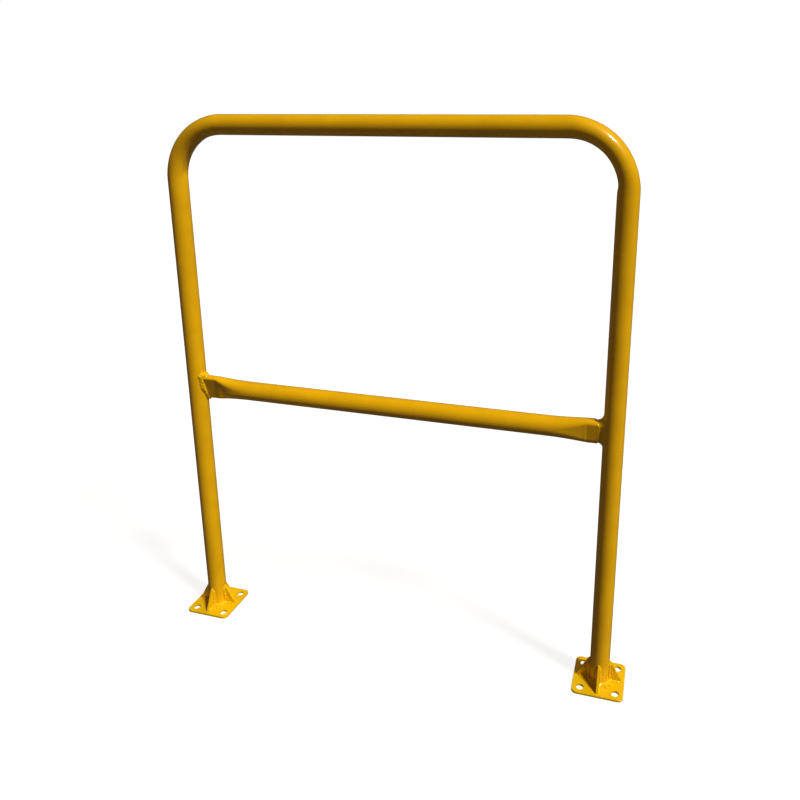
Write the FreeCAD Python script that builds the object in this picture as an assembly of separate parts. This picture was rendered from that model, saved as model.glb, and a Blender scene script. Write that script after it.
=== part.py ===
import FreeCAD, Part
import math
import os

os.makedirs("parts", exist_ok=True)

# Steel hoop safety barrier. Millimetres, +Z up. The origin is the centre of the
# footprint on the floor, +X runs along the barrier and -Y is its front.

# Tube of the hoop and of the mid rail
TUBE_OD = 42.4
TUBE_WALL = 3.2

# Hoop
OVERALL_WIDTH = 1000.0
OVERALL_HEIGHT = 1200.0
BEND_RADIUS = 117.0

# Mid rail, with its two ends pressed to an upright oval. Pressing keeps the tube's
# girth, so the height of each oval follows from its thickness. A stage is the distance
# back from the flat of the end, and the oval's thickness there.
RAIL_AXIS_HEIGHT = 588.0
PRESSED_THICKNESS = 22.0
PRESSED_LENGTH = 34.0
PRESS_STAGES = [(22.0, 34.0), (50.0, 40.4)]
PRESS_RUN_OUT = 80.0

# Base plates
PLATE_SIDE = 110.0
PLATE_THICKNESS = 5.0
PLATE_CORNER_RADIUS = 12.0
ANCHOR_HOLE_DIAMETER = 16.0
ANCHOR_HOLE_SPACING = 75.0

# Gussets, measured from the post axis and from the top of the plate
GUSSET_THICKNESS = 5.0
GUSSET_REACH = 49.0
GUSSET_HEIGHT = 48.0
GUSSET_TOE_LAND = 2.5
GUSSET_TOP_LAND = 2.5

# Weld beads
FOOT_WELD_LEG = 6.0
GUSSET_WELD_RADIUS = 3.5
RAIL_WELD_RADIUS = 5.0

# Derived sizes
TUBE_R = TUBE_OD / 2
BORE_R = TUBE_R - TUBE_WALL
POST_X = (OVERALL_WIDTH - TUBE_OD) / 2
TOP_AXIS_HEIGHT = OVERALL_HEIGHT - TUBE_R
FRONT = FreeCAD.Vector(0, -1, 0)
ALONG = FreeCAD.Vector(1, 0, 0)
UP = FreeCAD.Vector(0, 0, 1)


def vec(x, y, z):
    return FreeCAD.Vector(x, y, z)


def save(name, shape):
    """Write one node after checking that it is one sound solid."""
    shape = shape.removeSplitter()
    if len(shape.Solids) != 1 or not shape.isValid():
        raise ValueError(name + " is not one valid solid")
    shape.Solids[0].exportStep("parts/" + name + ".step")


def hoop_path():
    """Centre line of the hoop, from the left plate over the top to the right plate."""
    left, right, top = -POST_X, POST_X, TOP_AXIS_HEIGHT
    bend = BEND_RADIUS
    mid = bend * (1 - math.sqrt(0.5))
    left_foot = vec(left, 0, PLATE_THICKNESS)
    left_spring = vec(left, 0, top - bend)
    left_crown = vec(left + bend, 0, top)
    right_crown = vec(right - bend, 0, top)
    right_spring = vec(right, 0, top - bend)
    right_foot = vec(right, 0, PLATE_THICKNESS)
    edges = [
        Part.LineSegment(left_foot, left_spring).toShape(),
        Part.Arc(left_spring, vec(left + mid, 0, top - mid), left_crown).toShape(),
        Part.LineSegment(left_crown, right_crown).toShape(),
        Part.Arc(right_crown, vec(right - mid, 0, top - mid), right_spring).toShape(),
        Part.LineSegment(right_spring, right_foot).toShape(),
    ]
    return Part.Wire(edges)


def hoop_solid(radius):
    """The hoop as a solid bar of the given radius."""
    start = vec(-POST_X, 0, PLATE_THICKNESS)
    section = Part.Face(Part.Wire([Part.Circle(start, UP, radius).toShape()]))
    return hoop_path().makePipe(section)


def post_bar(x):
    """Solid bar as thick as the tube, longer than a post, used to cope its neighbours."""
    return Part.makeCylinder(TUBE_R, TOP_AXIS_HEIGHT - BEND_RADIUS, vec(x, 0, 0), UP)


def four_sided_section(x, corner, side_bulge, half_height):
    """Closed section across the rail: front side, top arc, back side, bottom arc."""
    z = RAIL_AXIS_HEIGHT
    corner_y, corner_z = corner
    front_low, front_high = vec(x, -corner_y, z - corner_z), vec(x, -corner_y, z + corner_z)
    back_high, back_low = vec(x, corner_y, z + corner_z), vec(x, corner_y, z - corner_z)
    if side_bulge > corner_y:
        front = Part.Arc(front_low, vec(x, -side_bulge, z), front_high)
        back = Part.Arc(back_high, vec(x, side_bulge, z), back_low)
    else:
        front = Part.LineSegment(front_low, front_high)
        back = Part.LineSegment(back_high, back_low)
    top = Part.Arc(front_high, vec(x, 0, z + half_height), back_high)
    bottom = Part.Arc(back_low, vec(x, 0, z - half_height), front_low)
    return Part.Wire([front.toShape(), top.toShape(), back.toShape(), bottom.toShape()])


def oval_section(x, thickness, shrink):
    """The tube pressed to an oval of the given thickness, made smaller all round by shrink."""
    half_flat = math.pi * (TUBE_R - thickness / 2) / 2
    half_thick = thickness / 2 - shrink
    return four_sided_section(x, (half_thick, half_flat), half_thick, half_flat + half_thick)


def round_section(x, shrink):
    """The round tube, split where the flats of the last oval run out."""
    radius = TUBE_R - shrink
    last_thickness = PRESS_STAGES[-1][1]
    angle = math.pi * (TUBE_R - last_thickness / 2) / 2 / TUBE_R
    corner = (radius * math.cos(angle), radius * math.sin(angle))
    return four_sided_section(x, corner, radius, radius)


def rail_bar(shrink):
    """The mid rail as a solid bar, made smaller all round by shrink."""
    tip = POST_X - PRESSED_THICKNESS / 2
    flat_end = POST_X - TUBE_R - PRESSED_LENGTH
    round_end = flat_end - PRESS_RUN_OUT
    bar = Part.makeCylinder(
        TUBE_R - shrink, 2 * round_end, vec(-round_end, 0, RAIL_AXIS_HEIGHT), ALONG
    )
    for side in (-1, 1):
        sections = [oval_section(side * flat_end, PRESSED_THICKNESS, shrink)]
        for back, thickness in PRESS_STAGES:
            sections.append(oval_section(side * (flat_end - back), thickness, shrink))
        sections.append(round_section(side * round_end, shrink))
        pieces = [Part.Face(sections[0]).extrude(vec(side * (tip - flat_end), 0, 0))]
        for near, far in zip(sections, sections[1:]):
            pieces.append(Part.makeLoft([near, far], True, True))
        bar = bar.fuse(pieces)
    return bar


def base_plate(x):
    """Square plate with rounded corners and four anchor holes."""
    half = PLATE_SIDE / 2
    plate = Part.makeBox(PLATE_SIDE, PLATE_SIDE, PLATE_THICKNESS, vec(x - half, -half, 0))
    uprights = [e for e in plate.Edges if abs(e.BoundBox.ZLength - PLATE_THICKNESS) < 1e-6]
    plate = plate.makeFillet(PLATE_CORNER_RADIUS, uprights)
    offset = ANCHOR_HOLE_SPACING / 2
    for sx in (-1, 1):
        for sy in (-1, 1):
            centre = vec(x + sx * offset, sy * offset, 0)
            plate = plate.cut(
                Part.makeCylinder(ANCHOR_HOLE_DIAMETER / 2, PLATE_THICKNESS, centre, UP)
            )
    return plate


def gusset(x, turn):
    """Triangular stiffener on the plate against the post, turned about the post axis."""
    low, high = PLATE_THICKNESS, PLATE_THICKNESS + GUSSET_HEIGHT
    half = GUSSET_THICKNESS / 2
    outline = [
        vec(0, -half, low),
        vec(GUSSET_REACH, -half, low),
        vec(GUSSET_REACH, -half, low + GUSSET_TOE_LAND),
        vec(TUBE_R + GUSSET_TOP_LAND, -half, high),
        vec(0, -half, high),
        vec(0, -half, low),
    ]
    blade = Part.Face(Part.makePolygon(outline)).extrude(vec(0, GUSSET_THICKNESS, 0))
    blade.rotate(vec(0, 0, 0), UP, turn)
    blade.translate(vec(x, 0, 0))
    return blade.cut(post_bar(x))


def foot_weld(x, turn):
    """Weld of one quadrant of a foot: round the post and along two gussets."""
    low = PLATE_THICKNESS
    half = GUSSET_THICKNESS / 2
    bead = GUSSET_WELD_RADIUS
    run = GUSSET_REACH - TUBE_R
    rise = GUSSET_HEIGHT - GUSSET_TOP_LAND
    ring_r = TUBE_R + FOOT_WELD_LEG
    bulge = FOOT_WELD_LEG * 0.6
    profile = Part.Wire([
        Part.LineSegment(vec(0, 0, low), vec(ring_r, 0, low)).toShape(),
        Part.Arc(
            vec(ring_r, 0, low),
            vec(TUBE_R + bulge, 0, low + bulge),
            vec(TUBE_R, 0, low + FOOT_WELD_LEG),
        ).toShape(),
        Part.LineSegment(vec(TUBE_R, 0, low + FOOT_WELD_LEG), vec(0, 0, low + FOOT_WELD_LEG)).toShape(),
        Part.LineSegment(vec(0, 0, low + FOOT_WELD_LEG), vec(0, 0, low)).toShape(),
    ])
    metal = Part.Face(profile).revolve(vec(0, 0, 0), UP, 360)
    corner = TUBE_R - 0.2
    lines = [
        (vec(corner, half, low), rise, UP),
        (vec(half, corner, low), rise, UP),
        (vec(corner, half, low), run, ALONG),
        (vec(half, corner, low), run, -FRONT),
    ]
    metal = metal.fuse([Part.makeCylinder(bead, length, at, way) for at, length, way in lines])
    quadrant = Part.makeBox(PLATE_SIDE, PLATE_SIDE, PLATE_SIDE, vec(half, half, low))
    metal = metal.common(quadrant)
    metal.rotate(vec(0, 0, 0), UP, turn)
    metal.translate(vec(x, 0, 0))
    return metal.cut(post_bar(x))


def rail_weld():
    """Bead all round the joint between the pressed rail end and the right post."""
    back = POST_X - TUBE_R - PRESSED_LENGTH
    tip = POST_X - PRESSED_THICKNESS / 2
    section = Part.Face(oval_section(back, PRESSED_THICKNESS, 0))
    oval = section.extrude(vec(tip - back, 0, 0))
    post = post_bar(POST_X)
    seam = Part.Wire(Part.__sortEdges__(coped_edges(oval.cut(post))))
    start = seam.Edges[0]
    at = start.valueAt(start.FirstParameter)
    way = start.tangentAt(start.FirstParameter)
    ring = Part.Wire([Part.Circle(at, way, RAIL_WELD_RADIUS).toShape()])
    bead = seam.makePipeShell([ring], True, True)
    return bead.cut(post).cut(oval)


def coped_edges(coped):
    """Edges round the face that a post has cut on a rail end."""
    for face in coped.Faces:
        surface = face.Surface
        if isinstance(surface, Part.Cylinder) and abs(surface.Axis.z) > 0.9:
            return face.OuterWire.Edges
    raise ValueError("the rail end does not meet the post")


bore = hoop_solid(BORE_R)
save("hoop_tube", hoop_solid(TUBE_R).cut(bore))

rail = rail_bar(0).cut(rail_bar(TUBE_WALL))
for post_x in (-POST_X, POST_X):
    rail = rail.cut(post_bar(post_x))
save("mid_rail", rail)

right_bead = rail_weld()
save("rail_weld_right", right_bead)
save("rail_weld_left", right_bead.mirror(vec(0, 0, 0), ALONG))

for side, hand in ((-1, "left"), (1, "right")):
    foot_x = side * POST_X
    save("base_plate_" + hand, base_plate(foot_x))
    outer, inner = ("outer", "inner") if side > 0 else ("inner", "outer")
    for quarter, place in enumerate((outer, "back", inner, "front")):
        save("gusset_" + hand + "_" + place, gusset(foot_x, 90 * quarter))
    corners = ("back_" + outer, "back_" + inner, "front_" + inner, "front_" + outer)
    for quarter, place in enumerate(corners):
        save("foot_weld_" + hand + "_" + place, foot_weld(foot_x, 90 * quarter))
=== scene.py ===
import math
import random

import bmesh
import bpy
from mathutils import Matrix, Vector, noise


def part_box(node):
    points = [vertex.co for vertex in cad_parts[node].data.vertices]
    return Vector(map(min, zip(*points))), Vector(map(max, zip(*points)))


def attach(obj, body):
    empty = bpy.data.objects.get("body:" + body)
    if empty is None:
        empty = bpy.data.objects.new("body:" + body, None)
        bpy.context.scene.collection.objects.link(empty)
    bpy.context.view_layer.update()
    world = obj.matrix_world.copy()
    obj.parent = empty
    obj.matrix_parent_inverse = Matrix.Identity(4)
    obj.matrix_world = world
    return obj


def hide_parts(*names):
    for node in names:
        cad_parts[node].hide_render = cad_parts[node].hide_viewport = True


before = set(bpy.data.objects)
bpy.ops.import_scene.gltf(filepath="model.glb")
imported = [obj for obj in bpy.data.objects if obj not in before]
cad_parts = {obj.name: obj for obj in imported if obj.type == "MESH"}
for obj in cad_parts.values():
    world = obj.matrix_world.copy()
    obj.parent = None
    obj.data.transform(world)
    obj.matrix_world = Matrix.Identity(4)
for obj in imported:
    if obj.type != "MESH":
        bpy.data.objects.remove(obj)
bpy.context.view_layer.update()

MM = 0.001

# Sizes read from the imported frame, in metres
HOOP_LOW, HOOP_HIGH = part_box("hoop_tube")
RAIL_LOW, RAIL_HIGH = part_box("mid_rail")
TUBE_R = HOOP_HIGH.y
POST_X = HOOP_HIGH.x - TUBE_R
TOP_Z = HOOP_HIGH.z - TUBE_R
RAIL_Z = (RAIL_LOW.z + RAIL_HIGH.z) / 2
PRESSED_HALF = (RAIL_HIGH.z - RAIL_LOW.z) / 2
PLATE_TOP = HOOP_LOW.z
GUSSET_LOW, GUSSET_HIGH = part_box("gusset_right_outer")
GUSSET_HALF = (GUSSET_HIGH.y - GUSSET_LOW.y) / 2
GUSSET_REACH = GUSSET_HIGH.x - POST_X
GUSSET_TOP = GUSSET_HIGH.z

# Sizes of the tube, its bends and its pressed ends
WALL = 3.2 * MM
BEND_R = 117 * MM
PRESSED_THICK = 22 * MM
PRESSED_LENGTH = 34 * MM
TRANSITION = 80 * MM
RUN_OUT = TRANSITION + 10 * MM

# Sizes of the holes, corners and lands of the feet
HOLE_R = 8 * MM
HOLE_OFFSET = 37.5 * MM
CORNER_R = 12 * MM
GUSSET_LAND = 2.5 * MM

# How far a weld or gusset reaches into the face it is joined to
SEAT = 0.1 * MM

# Side of the barrier that each hand is on, along X
SIDE = {"left": -1, "right": 1}


def smoothstep(t):
    t = min(1.0, max(0.0, t))
    return t * t * (3 - 2 * t)


def wobble(x, y=0.0, z=0.0):
    """Smooth repeatable noise between about -1 and 1."""
    return noise.noise(Vector((x, y, z)))


def outward_mesh(name, verts, faces):
    """A closed mesh with every face turned outwards."""
    mesh = bpy.data.meshes.new(name)
    mesh.from_pydata([tuple(v) for v in verts], [], faces)
    bm = bmesh.new()
    bm.from_mesh(mesh)
    bmesh.ops.recalc_face_normals(bm, faces=bm.faces)
    bm.to_mesh(mesh)
    bm.free()
    return mesh


def linked(name, data):
    """A new object in the scene."""
    thing = bpy.data.objects.new(name, data)
    bpy.context.scene.collection.objects.link(thing)
    return thing


def add_piece(name, verts, faces, node, material, sharp_deg=40, even=False):
    """A mesh that stands for one CAD node and rides on the single body."""
    mesh = outward_mesh(name, verts, faces)
    mesh.shade_smooth()
    mesh.set_sharp_from_angle(angle=math.radians(sharp_deg))
    mesh.materials.append(material)
    piece = linked(name, mesh)
    if even:
        flat = piece.modifiers.new("even_normals", "WEIGHTED_NORMAL")
        flat.keep_sharp = True
    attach(piece, "root")
    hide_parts(node)
    return piece


def tube_faces(outer, inner):
    """Vertices and faces of a tube from its outer and inner rings, with flat rings for ends."""
    count, ring = len(outer), len(outer[0])
    verts = [p for loop in outer for p in loop] + [p for loop in inner for p in loop]
    base = count * ring
    faces = []
    for i in range(count - 1):
        for j in range(ring):
            k = (j + 1) % ring
            a, b = i * ring, (i + 1) * ring
            faces.append((a + j, a + k, b + k, b + j))
            faces.append((base + a + j, base + b + j, base + b + k, base + a + k))
    for end in (0, (count - 1) * ring):
        for j in range(ring):
            k = (j + 1) % ring
            faces.append((end + j, base + end + j, base + end + k, end + k))
    return verts, faces


# ---------------------------------------------------------------- materials

def coat_material(name, green, peel, lumps=0.0, grime=0.0):
    """Gloss powder coat: amber yellow, orange peel, faint tone drift and dust.

    green is the share of green in the red; peel and lumps are heights of bumps in mm.
    """
    material = bpy.data.materials.new(name)
    material.use_nodes = True
    tree = material.node_tree
    nodes, links = tree.nodes, tree.links
    nodes.clear()
    out = nodes.new("ShaderNodeOutputMaterial")
    shader = nodes.new("ShaderNodeBsdfPrincipled")
    links.new(shader.outputs["BSDF"], out.inputs["Surface"])
    shader.inputs["Specular IOR Level"].default_value = 0.2
    shader.inputs["Coat Weight"].default_value = 1.0
    shader.inputs["Coat Roughness"].default_value = 0.05
    shader.inputs["IOR"].default_value = 1.5
    place = nodes.new("ShaderNodeTexCoord")

    def texture(scale, detail, rough=0.5):
        tex = nodes.new("ShaderNodeTexNoise")
        tex.inputs["Scale"].default_value = scale
        tex.inputs["Detail"].default_value = detail
        tex.inputs["Roughness"].default_value = rough
        links.new(place.outputs["Object"], tex.inputs["Vector"])
        return tex.outputs["Fac"]

    drift = nodes.new("ShaderNodeValToRGB")
    drift.color_ramp.elements[0].position = 0.36
    drift.color_ramp.elements[0].color = (0.86, 0.86 * green, 0.002, 1)
    drift.color_ramp.elements[1].position = 0.66
    drift.color_ramp.elements[1].color = (0.94, 0.95 * green, 0.003, 1)
    links.new(texture(16, 3), drift.inputs["Fac"])

    def speckled(under, fac, shade, amount):
        """The colour with specks of a shade where the noise is high."""
        gain = nodes.new("ShaderNodeMapRange")
        gain.inputs["From Min"].default_value = 0.52
        gain.inputs["From Max"].default_value = 0.74
        gain.inputs["To Max"].default_value = amount
        links.new(fac, gain.inputs["Value"])
        mix = nodes.new("ShaderNodeMix")
        mix.data_type = "RGBA"
        links.new(gain.outputs["Result"], mix.inputs["Factor"])
        links.new(under, mix.inputs["A"])
        mix.inputs["B"].default_value = shade
        return mix.outputs["Result"]

    colour = drift.outputs["Color"]
    colour = speckled(colour, texture(210, 4, 0.65), (0.60, 0.30, 0.002, 1), 0.10 + grime)
    colour = speckled(colour, texture(60, 5, 0.7), (0.95, 0.62, 0.02, 1), 0.10)
    links.new(colour, shader.inputs["Base Color"])

    gloss = nodes.new("ShaderNodeMapRange")
    gloss.inputs["To Min"].default_value = 0.26
    gloss.inputs["To Max"].default_value = 0.42
    links.new(texture(75, 4, 0.6), gloss.inputs["Value"])
    links.new(gloss.outputs["Result"], shader.inputs["Roughness"])

    def bump(fac, strength, depth, below=None):
        node = nodes.new("ShaderNodeBump")
        node.inputs["Strength"].default_value = strength
        node.inputs["Distance"].default_value = depth
        links.new(fac, node.inputs["Height"])
        if below:
            links.new(below, node.inputs["Normal"])
        return node.outputs["Normal"]

    normal = bump(texture(420, 2), 1.0, peel * MM)
    if lumps:
        normal = bump(texture(260, 3, 0.6), 1.0, lumps * MM, normal)
    links.new(normal, shader.inputs["Normal"])
    return material


TUBE_COAT = coat_material("tube_coat", 0.565, peel=0.02)
PLATE_COAT = coat_material("plate_coat", 0.625, peel=0.03, grime=0.03)
WELD_COAT = coat_material("weld_coat", 0.625, peel=0.03, lumps=0.26, grime=0.02)


# ---------------------------------------------------------------- hoop

HOOP_RING = 96
POST_STEPS = 44
BAR_STEPS = 30
BEND_STEP_DEG = 2

# What bending does to the tube: it flattens outwards, widens across and creases inside
FLATTENING = 0.05
WIDENING = 0.045
CREASE_AT = -0.83
CREASE_DEPTH = 0.85


def hoop_section(angle, bend, shrink):
    """Point of the tube's section: out of the bend, and across it."""
    radius = TUBE_R - shrink
    oval, crease = bend
    out = radius * math.cos(angle) * (1 - FLATTENING * oval)
    across = radius * math.sin(angle) * (1 + WIDENING * oval)
    facet = CREASE_AT * radius
    if out < facet:
        out += (facet - out) * CREASE_DEPTH * crease
    return out, across


def bend_share(turned_deg):
    """How far the tube is ovalled, and creased inside, at an angle from the post."""
    oval = smoothstep(turned_deg / 26) * smoothstep((90 - turned_deg) / 26)
    crease = smoothstep((turned_deg + 2) / 14) * smoothstep((86 - turned_deg) / 58)
    return oval, crease


def hoop_stations():
    """Centre, outward direction and bend share along the hoop, foot to foot."""
    rows = []
    straight = (0.0, 0.0)
    low, spring, half = PLATE_TOP, TOP_Z - BEND_R, POST_X - BEND_R
    for i in range(POST_STEPS):
        rows.append((-POST_X, low + (spring - low) * i / POST_STEPS, 180.0, straight))
    for i in range(0, 91, BEND_STEP_DEG):
        a = math.radians(180 - i)
        x, z = -half + BEND_R * math.cos(a), spring + BEND_R * math.sin(a)
        rows.append((x, z, 180 - i, bend_share(i)))
    for i in range(1, BAR_STEPS):
        rows.append((-half + 2 * half * i / BAR_STEPS, TOP_Z, 90.0, straight))
    for i in range(0, 91, BEND_STEP_DEG):
        a = math.radians(90 - i)
        x, z = half + BEND_R * math.cos(a), spring + BEND_R * math.sin(a)
        rows.append((x, z, 90 - i, bend_share(90 - i)))
    for i in range(1, POST_STEPS + 1):
        rows.append((POST_X, spring - (spring - low) * i / POST_STEPS, 0.0, straight))
    return rows


def hoop():
    """The bent tube, from one foot to the other, with its bore."""
    outer, inner = [], []
    for x, z, turn, share in hoop_stations():
        way = Vector((math.cos(math.radians(turn)), 0, math.sin(math.radians(turn))))
        for loops, shrink in ((outer, 0.0), (inner, WALL)):
            loop = []
            for j in range(HOOP_RING):
                out, across = hoop_section(2 * math.pi * j / HOOP_RING, share, shrink)
                loop.append(Vector((x, across, z)) + way * out)
            loops.append(loop)
    verts, faces = tube_faces(outer, inner)
    add_piece("hoop_tube_coated", verts, faces, "hoop_tube", TUBE_COAT)


# ---------------------------------------------------------------- mid rail

def oval_point(share, half_thick, shrink):
    """Point at a share of the way round an oval that keeps the tube's girth."""
    flat = math.pi * (TUBE_R - half_thick)
    radius = half_thick - shrink
    girth = 2 * flat + 2 * math.pi * radius
    s = (share % 1.0) * girth
    arc = math.pi * radius
    if s < flat / 2:
        return -radius, s
    s -= flat / 2
    if s < arc:
        a = s / radius
        return -radius * math.cos(a), flat / 2 + radius * math.sin(a)
    s -= arc
    if s < flat:
        return radius, flat / 2 - s
    s -= flat
    if s < arc:
        a = s / radius
        return radius * math.cos(a), -flat / 2 - radius * math.sin(a)
    return -radius, -flat / 2 + (s - arc)


RAIL_RING = 144
RAMP_STEPS = 40
HALF_BAR_STEPS = 12
END_STEPS = 16

# The rim of the cut end is rounded from LIP_START of the flat stretch onwards
LIP_R = 2.6 * MM
LIP_START = 0.91
LIP_STATIONS = (1, 0.998, 0.99, 0.975, 0.955, 0.93)

# The two ends were not pressed alike: the left one is flatter and tapers further back.
# LEAN narrows an end downwards and TWIST turns it about the rail's axis.
END_THICK = {"left": 15 * MM, "right": PRESSED_THICK}
LEAN = {"left": 0.50, "right": 0.26}
TWIST = {"left": 0.13, "right": 0.06}
# Both are a little less tall than the full oval, and sit low
END_SHORTER = 0.012
END_LOWER = 0.7 * MM


def pressed_point(hand, share, press, shrink):
    """Section of the rail: round where press is 0, the pressed end where it is 1."""
    half_thick = TUBE_R - (TUBE_R - END_THICK[hand] / 2) * press
    y, z = oval_point(share, half_thick, shrink)
    lean = 1 + LEAN[hand] * press * z / PRESSED_HALF
    return y * lean - TWIST[hand] * press * z, z * (1 - END_SHORTER * press) - END_LOWER * press


def press_share(hand, back):
    """How far the rail is pressed at a distance back from the post."""
    if hand == "left":
        length, fade_length = 32 * MM, 30 * MM
        fade = smoothstep((PRESSED_LENGTH + RUN_OUT - back) / fade_length)
        return fade * math.exp(-(max(0.0, back - PRESSED_LENGTH) / length) ** 1.25)
    t = (back - PRESSED_LENGTH) / TRANSITION
    if t < 0:
        return 1.0
    # a faint ridge where the die ended
    ridge = 0.035 * math.exp(-(t / 0.05) ** 2)
    return max(0.0, 1 - t - ridge) ** 1.9


# Cut ends in mm: heights where the upper and lower corners begin, gap to the post, and
# how much further back the upper and lower corners go
END_SHAPE = {"left": (21, 23, 1.5, 5, 3), "right": (8, 21, 9, 16, 2.5)}


def end_gap(hand, z):
    """How far the cut end of the rail stops short of the post, at a height from its axis."""
    upper, lower, middle, top_corner, low_corner = END_SHAPE[hand]
    start, corner = (upper, top_corner) if z > 0 else (lower, low_corner)
    t = min(1.0, max(0.0, abs(z) / MM - start) / (PRESSED_HALF / MM - start))
    return (middle + corner * (1 - math.sqrt(1 - t * t))) * MM


def cope(y):
    """Distance from the post axis to the post surface, along the barrier, at y."""
    return math.sqrt(max(0.0, TUBE_R ** 2 - y * y))


def rail():
    """Mid rail with its bore: a round bar, a ramp to each pressed end, and a rounded lip."""
    post_edge = POST_X - TUBE_R
    flat_x = post_edge - PRESSED_LENGTH
    round_x = flat_x - RUN_OUT
    half = [("end", t) for t in LIP_STATIONS]
    half += [("end", LIP_START * (1 - i / END_STEPS)) for i in range(END_STEPS)]
    half += [("ramp", i / RAMP_STEPS) for i in range(RAMP_STEPS + 1)]
    half += [("bar", i / HALF_BAR_STEPS) for i in range(1, HALF_BAR_STEPS)]
    outer, inner = [], []
    stations = [("left", kind, t) for kind, t in half]
    stations += [("right", kind, t) for kind, t in reversed(half)]
    for hand, kind, t in stations:
        side = SIDE[hand]
        for loops, shrink in ((outer, 0.0), (inner, WALL)):
            loop = []
            lip = shrink
            if kind == "end" and shrink == 0:
                rounding = max(0.0, (t - LIP_START) / (1 - LIP_START))
                lip = LIP_R * (1 - math.sqrt(1 - rounding ** 2))
            for j in range(RAIL_RING):
                share = j / RAIL_RING
                if kind == "end":
                    x = flat_x + (post_edge - flat_x) * t
                    y, z = pressed_point(hand, share, press_share(hand, post_edge - x), lip)
                    x += (POST_X - cope(y) - end_gap(hand, z) - post_edge) * t
                elif kind == "ramp":
                    x = flat_x + (round_x - flat_x) * t
                    y, z = pressed_point(hand, share, press_share(hand, post_edge - x), shrink)
                else:
                    y, z = pressed_point(hand, share, 0, shrink)
                    x = round_x * (1 - t)
                loop.append(Vector((side * x, y, RAIL_Z + z)))
            loops.append(loop)
    verts, faces = tube_faces(outer, inner)
    add_piece("mid_rail_coated", verts, faces, "mid_rail", TUBE_COAT, sharp_deg=50)


# ---------------------------------------------------------------- plates and gussets

CORNER_STEPS = 14
RIM_STEPS = 4
HOLE_STEPS = 48

# Rounding of the rims: top and bottom of a plate's edge and of its holes, and a gusset's edges
PLATE_RIM = (1.1 * MM, 0.5 * MM)
HOLE_RIM = (0.7 * MM, 0.4 * MM)
GUSSET_RIM = 0.8 * MM


def rounded_square(half, corner):
    """Outline of a square with rounded corners, centred on the origin."""
    points = []
    for quarter in range(4):
        a0 = quarter * math.pi / 2
        cx = (half - corner) * (1 if quarter in (0, 3) else -1)
        cy = (half - corner) * (1 if quarter in (0, 1) else -1)
        for i in range(CORNER_STEPS + 1):
            a = a0 + math.pi / 2 * i / CORNER_STEPS
            points.append((cx + corner * math.cos(a), cy + corner * math.sin(a)))
    return points


def edge_profile(thick, top_r, low_r):
    """Inset and height pairs that round the two rims of a cut edge."""
    rows = []
    for i in range(RIM_STEPS + 1):
        a = math.pi / 2 * i / RIM_STEPS
        rows.append((top_r * (1 - math.sin(a)), thick - top_r * (1 - math.cos(a))))
    for i in range(RIM_STEPS + 1):
        a = math.pi / 2 * i / RIM_STEPS
        rows.append((low_r * (1 - math.cos(a)), low_r * (1 - math.sin(a))))
    return rows


def plate(hand):
    """Base plate with four holes, every rim rounded."""
    low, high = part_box("base_plate_" + hand)
    cx, half, thick = (low.x + high.x) / 2, (high.x - low.x) / 2, high.z - low.z
    bm = bmesh.new()
    tops, lows = [], []

    def wall(outline, rows):
        loops = []
        for inset, z in rows:
            loops.append([bm.verts.new((cx + x, y, z)) for x, y in outline(inset)])
        for a, b in zip(loops, loops[1:]):
            for j in range(len(a)):
                k = (j + 1) % len(a)
                bm.faces.new((a[j], a[k], b[k], b[j]))
        tops.append(loops[0])
        lows.append(loops[-1])

    rim = edge_profile(thick, *PLATE_RIM)
    wall(lambda inset: rounded_square(half - inset, CORNER_R - inset), rim)
    for sx in (-1, 1):
        for sy in (-1, 1):
            def ring(inset, sx=sx, sy=sy):
                r = HOLE_R + inset
                return [
                    (sx * HOLE_OFFSET + r * math.cos(2 * math.pi * i / HOLE_STEPS),
                     sy * HOLE_OFFSET + r * math.sin(2 * math.pi * i / HOLE_STEPS))
                    for i in range(HOLE_STEPS)
                ]
            wall(ring, edge_profile(thick, *HOLE_RIM))
    for loops in (tops, lows):
        edges = []
        for loop in loops:
            for a, b in zip(loop, loop[1:] + loop[:1]):
                edges.append(bm.edges.get((a, b)))
        bmesh.ops.triangle_fill(bm, use_beauty=True, use_dissolve=False, edges=edges)
    verts = [v.co.copy() for v in bm.verts]
    bm.verts.index_update()
    faces = [tuple(v.index for v in f.verts) for f in bm.faces]
    bm.free()
    name = "base_plate_" + hand
    add_piece(name + "_coated", verts, faces, name, PLATE_COAT, even=True)


PLACES = {"outer": 0, "back": 1, "inner": 2, "front": 3}


def quarter_turns(hand, place):
    """Quarter turns from +X to a place on a foot; inner and outer swap on the left."""
    turns = PLACES[place]
    if hand == "left" and place in ("inner", "outer"):
        turns = 2 - turns
    return turns


def turned(v, turns, cx):
    """Point turned by quarter turns about the origin and moved to a post's axis."""
    x, y = v.x, v.y
    for _ in range(turns % 4):
        x, y = -y, x
    return Vector((cx + x, y, v.z))


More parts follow.
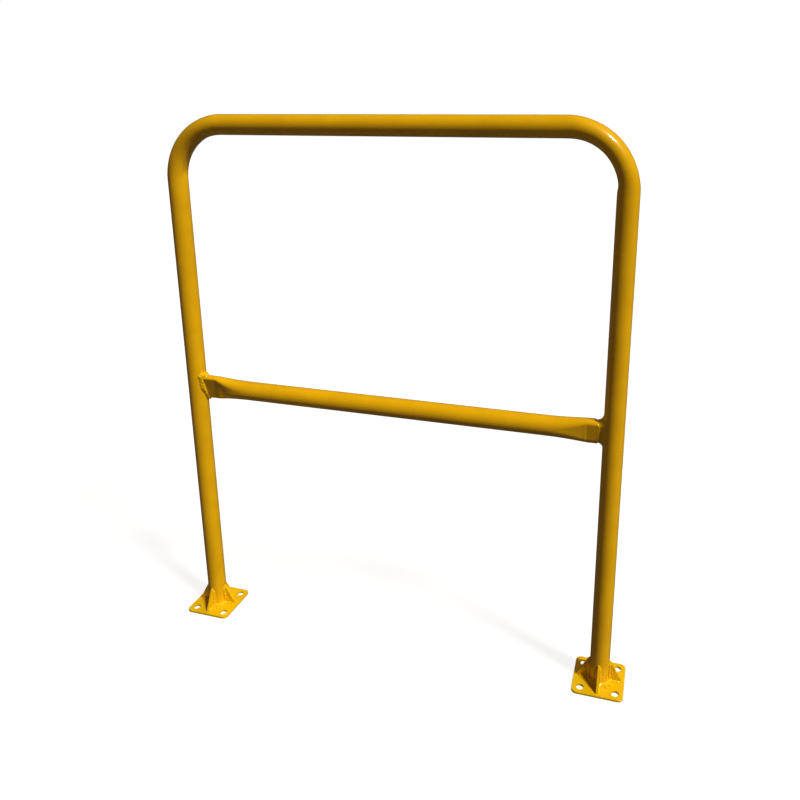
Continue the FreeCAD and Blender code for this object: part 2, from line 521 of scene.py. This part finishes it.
def gusset(hand, place):
    """Triangular gusset with rounded edges, made on +X and turned into place."""
    inside = TUBE_R - 4 * SEAT
    outline = [
        (inside, PLATE_TOP),
        (GUSSET_REACH, PLATE_TOP),
        (GUSSET_REACH, PLATE_TOP + GUSSET_LAND),
        (TUBE_R + GUSSET_LAND, GUSSET_TOP),
        (inside, GUSSET_TOP),
    ]
    bm = bmesh.new()
    front = [bm.verts.new((r, -GUSSET_HALF, z)) for r, z in outline]
    back = [bm.verts.new((r, GUSSET_HALF, z)) for r, z in outline]
    bm.faces.new(front)
    bm.faces.new(back[::-1])
    for i in range(len(front)):
        k = (i + 1) % len(front)
        bm.faces.new((front[i], back[i], back[k], front[k]))
    seen = [e for e in bm.edges if all(v.co.z > PLATE_TOP + 1e-6 for v in e.verts)]
    bmesh.ops.bevel(bm, geom=seen, offset=GUSSET_RIM, segments=3, profile=0.5, affect="EDGES")
    bm.verts.index_update()
    turns = quarter_turns(hand, place)
    verts = [turned(v.co, turns, SIDE[hand] * POST_X) for v in bm.verts]
    faces = [tuple(v.index for v in f.verts) for f in bm.faces]
    bm.free()
    name = "gusset_" + hand + "_" + place
    add_piece(name + "_coated", verts, faces, name, PLATE_COAT, even=True)


# ---------------------------------------------------------------- weld beads

BEAD_RING = 14
BEAD_STEP = 0.6 * MM
BEAD_ROUGH = 0.07
BEAD_TIP = 0.55
RIPPLE_PITCH = 2.4 * MM
DROP_RINGS = 7
DROP_SIDES = 12


def bead(path, radius, seed, ripple, lump, taper=0.0):
    """Rippled closed rope of weld metal along a path of points.

    ripple and lump are shares of the radius. Over the length taper, an end thins to BEAD_TIP.
    """
    ring = BEAD_RING
    verts, faces = [], []
    length, count = 0.0, len(path)
    total = sum((b - a).length for a, b in zip(path, path[1:]))
    for i, p in enumerate(path):
        if i:
            length += (p - path[i - 1]).length
        way = (path[min(i + 1, count - 1)] - path[max(i - 1, 0)]).normalized()
        side = way.orthogonal() if abs(way.z) > 0.9 else way.cross(Vector((0, 0, 1)))
        side.normalize()
        up = way.cross(side)
        phase = 2 * math.pi * length / RIPPLE_PITCH + 2 * wobble(length * 90, seed)
        pulse = 1 + ripple * math.sin(phase)
        size = radius * pulse * (1 + lump * wobble(length * 130, seed * 1.7, 3.1))
        if taper:
            edge = min(length, total - length) / taper
            size *= BEAD_TIP + (1 - BEAD_TIP) * smoothstep(edge)
        for j in range(ring):
            a = 2 * math.pi * j / ring
            rough = 1 + BEAD_ROUGH * wobble(length * 320, 4 * math.cos(a) + seed, 4 * math.sin(a))
            verts.append(p + (side * math.cos(a) + up * math.sin(a)) * size * rough)
    for i in range(count - 1):
        for j in range(ring):
            k = (j + 1) % ring
            faces.append((i * ring + j, i * ring + k, (i + 1) * ring + k, (i + 1) * ring + j))
    faces.append(tuple(range(ring))[::-1])
    faces.append(tuple((count - 1) * ring + j for j in range(ring)))
    return verts, faces


def line(a, b):
    """Points of a straight bead's path."""
    count = max(2, int((b - a).length / BEAD_STEP))
    return [a.lerp(b, i / count) for i in range(count + 1)]


def fused(parts, voxel, smooth):
    """One skin round overlapping closed shapes, as vertices and faces."""
    verts, faces = [], []
    for v, f in parts:
        base = len(verts)
        verts += v
        faces += [tuple(base + i for i in face) for face in f]
    mesh = outward_mesh("deposit", verts, faces)
    temp = linked("deposit", mesh)
    skin = temp.modifiers.new("skin", "REMESH")
    skin.mode = "VOXEL"
    skin.voxel_size = voxel
    soften = temp.modifiers.new("soften", "SMOOTH")
    soften.factor = 0.5
    soften.iterations = smooth
    graph = bpy.context.evaluated_depsgraph_get()
    done = bpy.data.meshes.new_from_object(temp.evaluated_get(graph))
    result = [v.co.copy() for v in done.vertices], [tuple(p.vertices) for p in done.polygons]
    bpy.data.objects.remove(temp)
    bpy.data.meshes.remove(mesh)
    bpy.data.meshes.remove(done)
    return result


def drop(centre, radius, seed):
    """Lumpy closed ball of spatter."""
    rings, ring = DROP_RINGS, DROP_SIDES
    verts, faces = [centre + Vector((0, 0, radius))], []
    for i in range(1, rings):
        tilt = math.pi * i / rings
        for j in range(ring):
            a = 2 * math.pi * j / ring
            flat = math.sin(tilt)
            way = Vector((flat * math.cos(a), flat * math.sin(a), math.cos(tilt)))
            size = radius * (1 + 0.3 * wobble(way.x * 1.7 + seed, way.y * 1.7, way.z * 1.7))
            verts.append(centre + way * size)
    verts.append(centre - Vector((0, 0, radius)))
    last = len(verts) - 1
    for j in range(ring):
        k = (j + 1) % ring
        faces.append((0, 1 + j, 1 + k))
        for i in range(rings - 2):
            a, b = 1 + i * ring, 1 + (i + 1) * ring
            faces.append((a + j, b + j, b + k, a + k))
        faces.append((last, last - ring + k, last - ring + j))
    return verts, faces


# Bead radii round the post, up a gusset and out along the plate
RING_BEAD_R = 4.6 * MM
RISE_BEAD_R = 3.4 * MM
TOE_BEAD_R = 3.2 * MM

# Where those beads run: distance of the first from the post's axis, corner of post and
# gusset, face of the gusset, and corner of gusset and plate
RING_PATH_R = TUBE_R + 1.5 * MM
POST_CORNER = TUBE_R + 0.4 * MM
GUSSET_FACE = GUSSET_HALF + 0.4 * MM
PLATE_CORNER = GUSSET_HALF + 0.3 * MM
RING_STEPS = 60
FOOT_VOXEL = 0.7 * MM
FOOT_SMOOTHING = 3

# Quarter turns from the quadrant at +X +Y to each quadrant of a foot
QUADRANTS = {
    "right": {
        ("back", "outer"): 0, ("back", "inner"): 1, ("front", "inner"): 2, ("front", "outer"): 3,
    },
    "left": {
        ("back", "inner"): 0, ("back", "outer"): 1, ("front", "outer"): 2, ("front", "inner"): 3,
    },
}


def foot_beads(seed):
    """Beads of the quadrant at +X +Y: round the post, then up and out along each gusset."""
    ring = []
    for i in range(RING_STEPS + 1):
        a = math.radians(2 + 86 * i / RING_STEPS)
        r = RING_PATH_R + 1.1 * MM * wobble(i * 0.17, seed)
        lift = 0.8 * MM * wobble(i * 0.21, seed, 7.7)
        ring.append(Vector((math.cos(a) * r, math.sin(a) * r, PLATE_TOP + 1.4 * MM + lift)))
    beads = [bead(ring, RING_BEAD_R, seed, ripple=0.05, lump=0.32)]
    for swap in (0, 1):
        def place(r, across, z):
            return Vector((across, r, z)) if swap else Vector((r, across, z))
        shift = 1.2 * MM * wobble(seed, swap, 5.5)
        rise = line(place(POST_CORNER, GUSSET_FACE, PLATE_TOP + 1 * MM),
                    place(POST_CORNER, GUSSET_FACE, GUSSET_TOP - 3.4 * MM + shift))
        run = line(place(POST_CORNER, PLATE_CORNER, PLATE_TOP + 0.3 * MM),
                   place(GUSSET_REACH - 3.2 * MM + shift, PLATE_CORNER, PLATE_TOP + 0.3 * MM))
        beads.append(bead(rise, RISE_BEAD_R, seed + 3 + swap, ripple=0.04, lump=0.34, taper=4 * MM))
        beads.append(bead(run, TOE_BEAD_R, seed + 7 + swap, ripple=0.05, lump=0.36, taper=6 * MM))
    return beads


def foot_spatter(seed):
    """Drops on the plate, then on the two gussets of the quadrant at +X +Y."""
    draw = random.Random(round(seed * 10))
    drops = []
    for i in range(4):
        a = math.radians(draw.uniform(16, 74))
        out = draw.uniform(RING_PATH_R + 3 * MM, RING_PATH_R + 9 * MM)
        at = Vector((math.cos(a) * out, math.sin(a) * out, PLATE_TOP + 0.2 * MM))
        drops.append(drop(at, draw.uniform(1.3, 2.8) * MM, seed + i))
    for i in range(4):
        along, height = draw.uniform(0, 10) * MM, draw.uniform(6, 24) * MM
        at = Vector((POST_CORNER + along, GUSSET_FACE, PLATE_TOP + height))
        if i % 2:
            at = Vector((at.y, at.x, at.z))
        drops.append(drop(at, draw.uniform(1.2, 2.4) * MM, seed + 20 + i))
    return drops


def seated(value, limit):
    """A coordinate beyond a face it is welded to, drawn back to lie just inside it."""
    return value if value > limit else limit + (value - limit) * 0.05


def foot_weld(hand, depth, side_name, seed):
    """One quadrant of foot weld, made at +X +Y and turned into place."""
    verts, faces = fused(foot_beads(seed) + foot_spatter(seed), FOOT_VOXEL, FOOT_SMOOTHING)
    placed = []
    for v in verts:
        x, y = seated(v.x, GUSSET_HALF - SEAT), seated(v.y, GUSSET_HALF - SEAT)
        radial = math.hypot(x, y)
        grow = seated(radial, TUBE_R - SEAT) / radial
        shaped = Vector((x * grow, y * grow, seated(v.z, PLATE_TOP - SEAT)))
        placed.append(turned(shaped, QUADRANTS[hand][(depth, side_name)], SIDE[hand] * POST_X))
    name = "foot_weld_" + hand + "_" + depth + "_" + side_name
    add_piece(name + "_coated", placed, faces, name, WELD_COAT, sharp_deg=70)


# The rail weld's section, from the rail's end to the post, and how it is fused
WELD_STEPS = 220
WELD_ACROSS = 16
WELD_DEPTH = 6.0 * MM
END_OVERLAP = 1.2 * MM
POST_OVERLAP = 0.2 * MM
WIDEST = 0.93 * TUBE_R
RAIL_VOXEL = 0.6 * MM
RAIL_DROPS = {"left": 26, "right": 0}
RAIL_SMOOTHING = {"left": 1, "right": 3}


def weld_row(hand, i, seed):
    """Section of the rail weld at one step round the rail's end, as it lies on the +X side."""
    share = i / WELD_STEPS
    y, z = pressed_point(hand, share, 1, 0)
    y_in, z_in = pressed_point(hand, share, 1, WELD_DEPTH)
    way = Vector((0, y, z)).normalized()
    rise = max(0.0, z / PRESSED_HALF)
    fall = max(0.0, -z / PRESSED_HALF)
    noise_a = wobble(i * 0.11, seed)
    noise_b = wobble(i * 0.31, seed, 9.1)
    gap = end_gap(hand, z)
    if hand == "right":
        spread = (4.5 + 11.0 * rise ** 2 + 4.0 * fall ** 2 + 0.8 * noise_a + 0.3 * noise_b) * MM
        depth, swell, rough = 2.4 * MM, 0.6 * MM, 0.25
    else:
        spread = (6.6 + 0.4 * rise - 2.6 * fall + 1.2 * noise_a + 0.9 * noise_b) * MM
        depth, swell, rough = -1.2 * MM, (8.6 + 0.5 * rise) * MM, 1.7
    rail_side = Vector((POST_X - cope(y) - gap - END_OVERLAP, y, z)) - way * depth
    if hand == "left":
        rail_side.x -= (4.2 + 1.8 * noise_b) * MM
    y_post = max(-WIDEST, min(WIDEST, y + way.y * spread))
    post_side = Vector((POST_X - cope(y_post) + POST_OVERLAP, y_post, z + way.z * spread))
    corner = Vector((POST_X - cope(y), y, z))
    bulge = corner + (way + Vector((-1, 0, 0))).normalized() * swell
    if hand == "right":
        bulge -= way * depth
    row = []
    for j in range(WELD_ACROSS):
        t = j / (WELD_ACROSS - 1)
        p = rail_side * (1 - t) ** 2 + bulge * 2 * t * (1 - t) + post_side * t * t
        lumps = rough * wobble(i * 0.20, t * 3.0, seed)
        lumps += 0.5 * rough * wobble(i * 0.55, t * 7.0, seed)
        lift = (way + Vector((-0.8, 0, 0))).normalized() * lumps * MM * math.sin(math.pi * t)
        row.append(p + lift)
    row.append(post_side + Vector((1.6 * MM, 0, 0)))
    row.append(Vector((POST_X - cope(y_in) + 1.2 * MM, y_in, z_in)))
    row.append(Vector((POST_X - cope(y_in) - gap - 1.0 * MM, y_in, z_in)))
    return row


def rail_spatter(hand, seed):
    """Drops round the end of the rail, most of them on the side that the photo shows."""
    draw = random.Random(round(seed * 10))
    drops = []
    for i in range(RAIL_DROPS[hand]):
        share = draw.choice((draw.uniform(0.10, 0.30), draw.uniform(0.0, 1.0)))
        y, z = pressed_point(hand, share, 1, 0)
        way = Vector((0, y, z)).normalized()
        off = draw.uniform(0.5, 4.0) * MM
        at = Vector((POST_X - cope(y) - draw.uniform(0.5, 4.5) * MM, y, z)) + way * off
        at = Vector((SIDE[hand] * at.x, at.y, RAIL_Z + at.z))
        drops.append(drop(at, draw.uniform(1.0, 2.3) * MM, seed + i))
    return drops


def rail_weld(hand, seed):
    """Weld metal between the cut end of the rail and the post, all the way round."""
    rows = [weld_row(hand, i, seed) for i in range(WELD_STEPS)]
    verts = [Vector((SIDE[hand] * p.x, p.y, RAIL_Z + p.z)) for row in rows for p in row]
    ring = len(rows[0])
    faces = []
    for i in range(WELD_STEPS):
        k = (i + 1) % WELD_STEPS
        for j in range(ring):
            m = (j + 1) % ring
            faces.append((i * ring + j, i * ring + m, k * ring + m, k * ring + j))
    parts = [(verts, faces)] + rail_spatter(hand, seed)
    verts, faces = fused(parts, RAIL_VOXEL, RAIL_SMOOTHING[hand])
    axis = SIDE[hand] * POST_X
    shaped = []
    for v in verts:
        x, y = v.x - axis, v.y
        grow = max(1.0, (TUBE_R - SEAT) / math.hypot(x, y))
        shaped.append(Vector((axis + x * grow, y * grow, v.z)))
    name = "rail_weld_" + hand
    add_piece(name + "_coated", shaped, faces, name, WELD_COAT, sharp_deg=70)


# ---------------------------------------------------------------- stage

FLOOR_HALF = 30.0


def camera_sees(tree, seen, other, target):
    """One shader for camera rays, another for all other rays."""
    ray = tree.nodes.new("ShaderNodeLightPath")
    mix = tree.nodes.new("ShaderNodeMixShader")
    tree.links.new(ray.outputs["Is Camera Ray"], mix.inputs["Fac"])
    tree.links.new(other, mix.inputs[1])
    tree.links.new(seen, mix.inputs[2])
    tree.links.new(mix.outputs["Shader"], target)


def add_floor():
    """Floor: pale and nearly shadowless to the camera, dark to the light it throws back up."""
    mesh = bpy.data.meshes.new("floor")
    half = FLOOR_HALF
    corners = [(-half, -half, 0), (half, -half, 0), (half, half, 0), (-half, half, 0)]
    mesh.from_pydata(corners, [], [(0, 1, 2, 3)])
    floor = linked("floor", mesh)
    material = bpy.data.materials.new("floor_pale")
    material.use_nodes = True
    nodes, links = material.node_tree.nodes, material.node_tree.links
    nodes.clear()
    out = nodes.new("ShaderNodeOutputMaterial")
    pale = nodes.new("ShaderNodeMixShader")
    pale.inputs["Fac"].default_value = 0.22
    glow = nodes.new("ShaderNodeEmission")
    glow.inputs["Strength"].default_value = 1.12
    matt = nodes.new("ShaderNodeBsdfDiffuse")
    matt.inputs["Color"].default_value = (0.9, 0.9, 0.9, 1)
    links.new(glow.outputs["Emission"], pale.inputs[1])
    links.new(matt.outputs["BSDF"], pale.inputs[2])
    dark = nodes.new("ShaderNodeBsdfDiffuse")
    dark.inputs["Color"].default_value = (0.10, 0.10, 0.095, 1)
    target = out.inputs["Surface"]
    camera_sees(material.node_tree, pale.outputs["Shader"], dark.outputs["BSDF"], target)
    mesh.materials.append(material)


def surround():
    """White behind the object, and a dim warm fill on it."""
    world = bpy.data.worlds.new("studio")
    bpy.context.scene.world = world
    world.use_nodes = True
    nodes = world.node_tree.nodes
    white = nodes["Background"]
    white.inputs["Color"].default_value = (1, 1, 1, 1)
    white.inputs["Strength"].default_value = 1.0
    fill = nodes.new("ShaderNodeBackground")
    fill.inputs["Color"].default_value = (1, 0.76, 0.34, 1)
    fill.inputs["Strength"].default_value = 0.165
    target = nodes["World Output"].inputs["Surface"]
    camera_sees(world.node_tree, white.outputs["Background"], fill.outputs["Background"], target)


def sun(name, towards, strength, spread_deg, tint=(1, 1, 1)):
    """Sunlight from a direction, with shadows as soft as its spread is wide."""
    data = bpy.data.lights.new(name, "SUN")
    data.energy = strength
    data.angle = math.radians(spread_deg)
    data.color = tint
    lamp = linked(name, data)
    lamp.rotation_mode = "QUATERNION"
    lamp.rotation_quaternion = Vector(towards).to_track_quat("Z", "Y")
    return lamp


def stage():
    """Pale floor, white surround, a key light from the front right and a wide one behind."""
    view = bpy.context.scene.view_settings
    view.view_transform = "Standard"
    view.look = "None"
    view.gamma = 0.87
    add_floor()
    surround()
    sun("key", (0.595, -0.277, 0.755), 3.25, 10)
    back = sun("back", (0.10, 0.97, 0.14), 0.9, 60, tint=(1, 0.95, 0.85))
    back.visible_glossy = False


def camera():
    """Camera at the fitted position, angle and focal length."""
    data = bpy.data.cameras.new("view")
    data.sensor_width = 36.0
    data.lens = 32.187
    data.shift_x = -0.08125
    data.shift_y = -0.1125
    data.clip_start = 0.05
    data.clip_end = 100
    view = linked("view", data)
    view.location = (0.54728, -1.3473, 1.18787)
    view.rotation_euler = [math.radians(a) for a in (75.2007, -0.2224, 15.7173)]
    bpy.context.scene.camera = view


# Each weld has its own seed
SEED_STEP = 11.3
RAIL_SEED = 40

hoop()
rail()
seed = 1.0
for hand in ("left", "right"):
    plate(hand)
    for place in PLACES:
        gusset(hand, place)
    rail_weld(hand, RAIL_SEED + seed)
    for depth in ("front", "back"):
        for side_name in ("inner", "outer"):
            foot_weld(hand, depth, side_name, seed)
            seed += SEED_STEP
stage()
camera()
